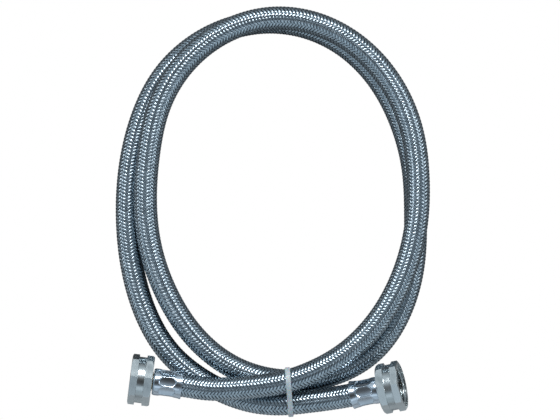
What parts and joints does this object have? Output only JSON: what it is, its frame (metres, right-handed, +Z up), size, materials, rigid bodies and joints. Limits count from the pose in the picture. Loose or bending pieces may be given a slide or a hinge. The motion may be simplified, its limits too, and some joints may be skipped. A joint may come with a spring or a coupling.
{
  "type": "braided supply line",
  "caption": "Coiled flexible water supply hose: woven steel sleeve over a reinforced tube, crimped ferrules, swivel hose-thread nuts with washers, held by a cable tie.",
  "frame": {"origin": "middle of the box round the two fittings and the cable tie, at its bottom, on the surface that the coil lies on", "axes": "+X from the left fitting to the right one, +Y from the fittings into the coil, +Z up from the surface that the coil lies on"},
  "size_m": [0.2024, 0.2642, 0.0409],
  "materials": {
    "braid_sleeve": "woven bright steel wire",
    "yarn_reinforcement": "matt polyester yarn",
    "inner_tube": "smooth soft vinyl",
    "ferrule": "bright crimped stainless steel",
    "stem": "turned brass",
    "swivel_nut": "satin nickel plate",
    "washer": "matt black rubber",
    "cable_tie": "natural nylon"
  },
  "bodies": {
    "hose": {"braid_sleeve": "braid_sleeve", "yarn_reinforcement": "yarn_reinforcement", "inner_tube": "inner_tube", "left_ferrule": "ferrule", "right_ferrule": "ferrule", "left_stem": "stem", "right_stem": "stem", "cable_tie": "cable_tie"},
    "left_nut": {"left_swivel_nut": "swivel_nut", "left_washer": "washer"},
    "right_nut": {"right_swivel_nut": "swivel_nut", "right_washer": "washer"}
  },
  "joints": [
    {"name": "left_nut_spin", "type": "hinge", "parent": "hose", "child": "left_nut", "pos_m": [-0.0807, 0.0049, 0.0247], "axis": [-0.9903, 0.1286, 0.0523], "continuous": true},
    {"name": "right_nut_spin", "type": "hinge", "parent": "hose", "child": "right_nut", "pos_m": [0.0795, 0.0002, 0.0241], "axis": [0.9539, 0.208, 0.2164], "continuous": true}
  ]
}
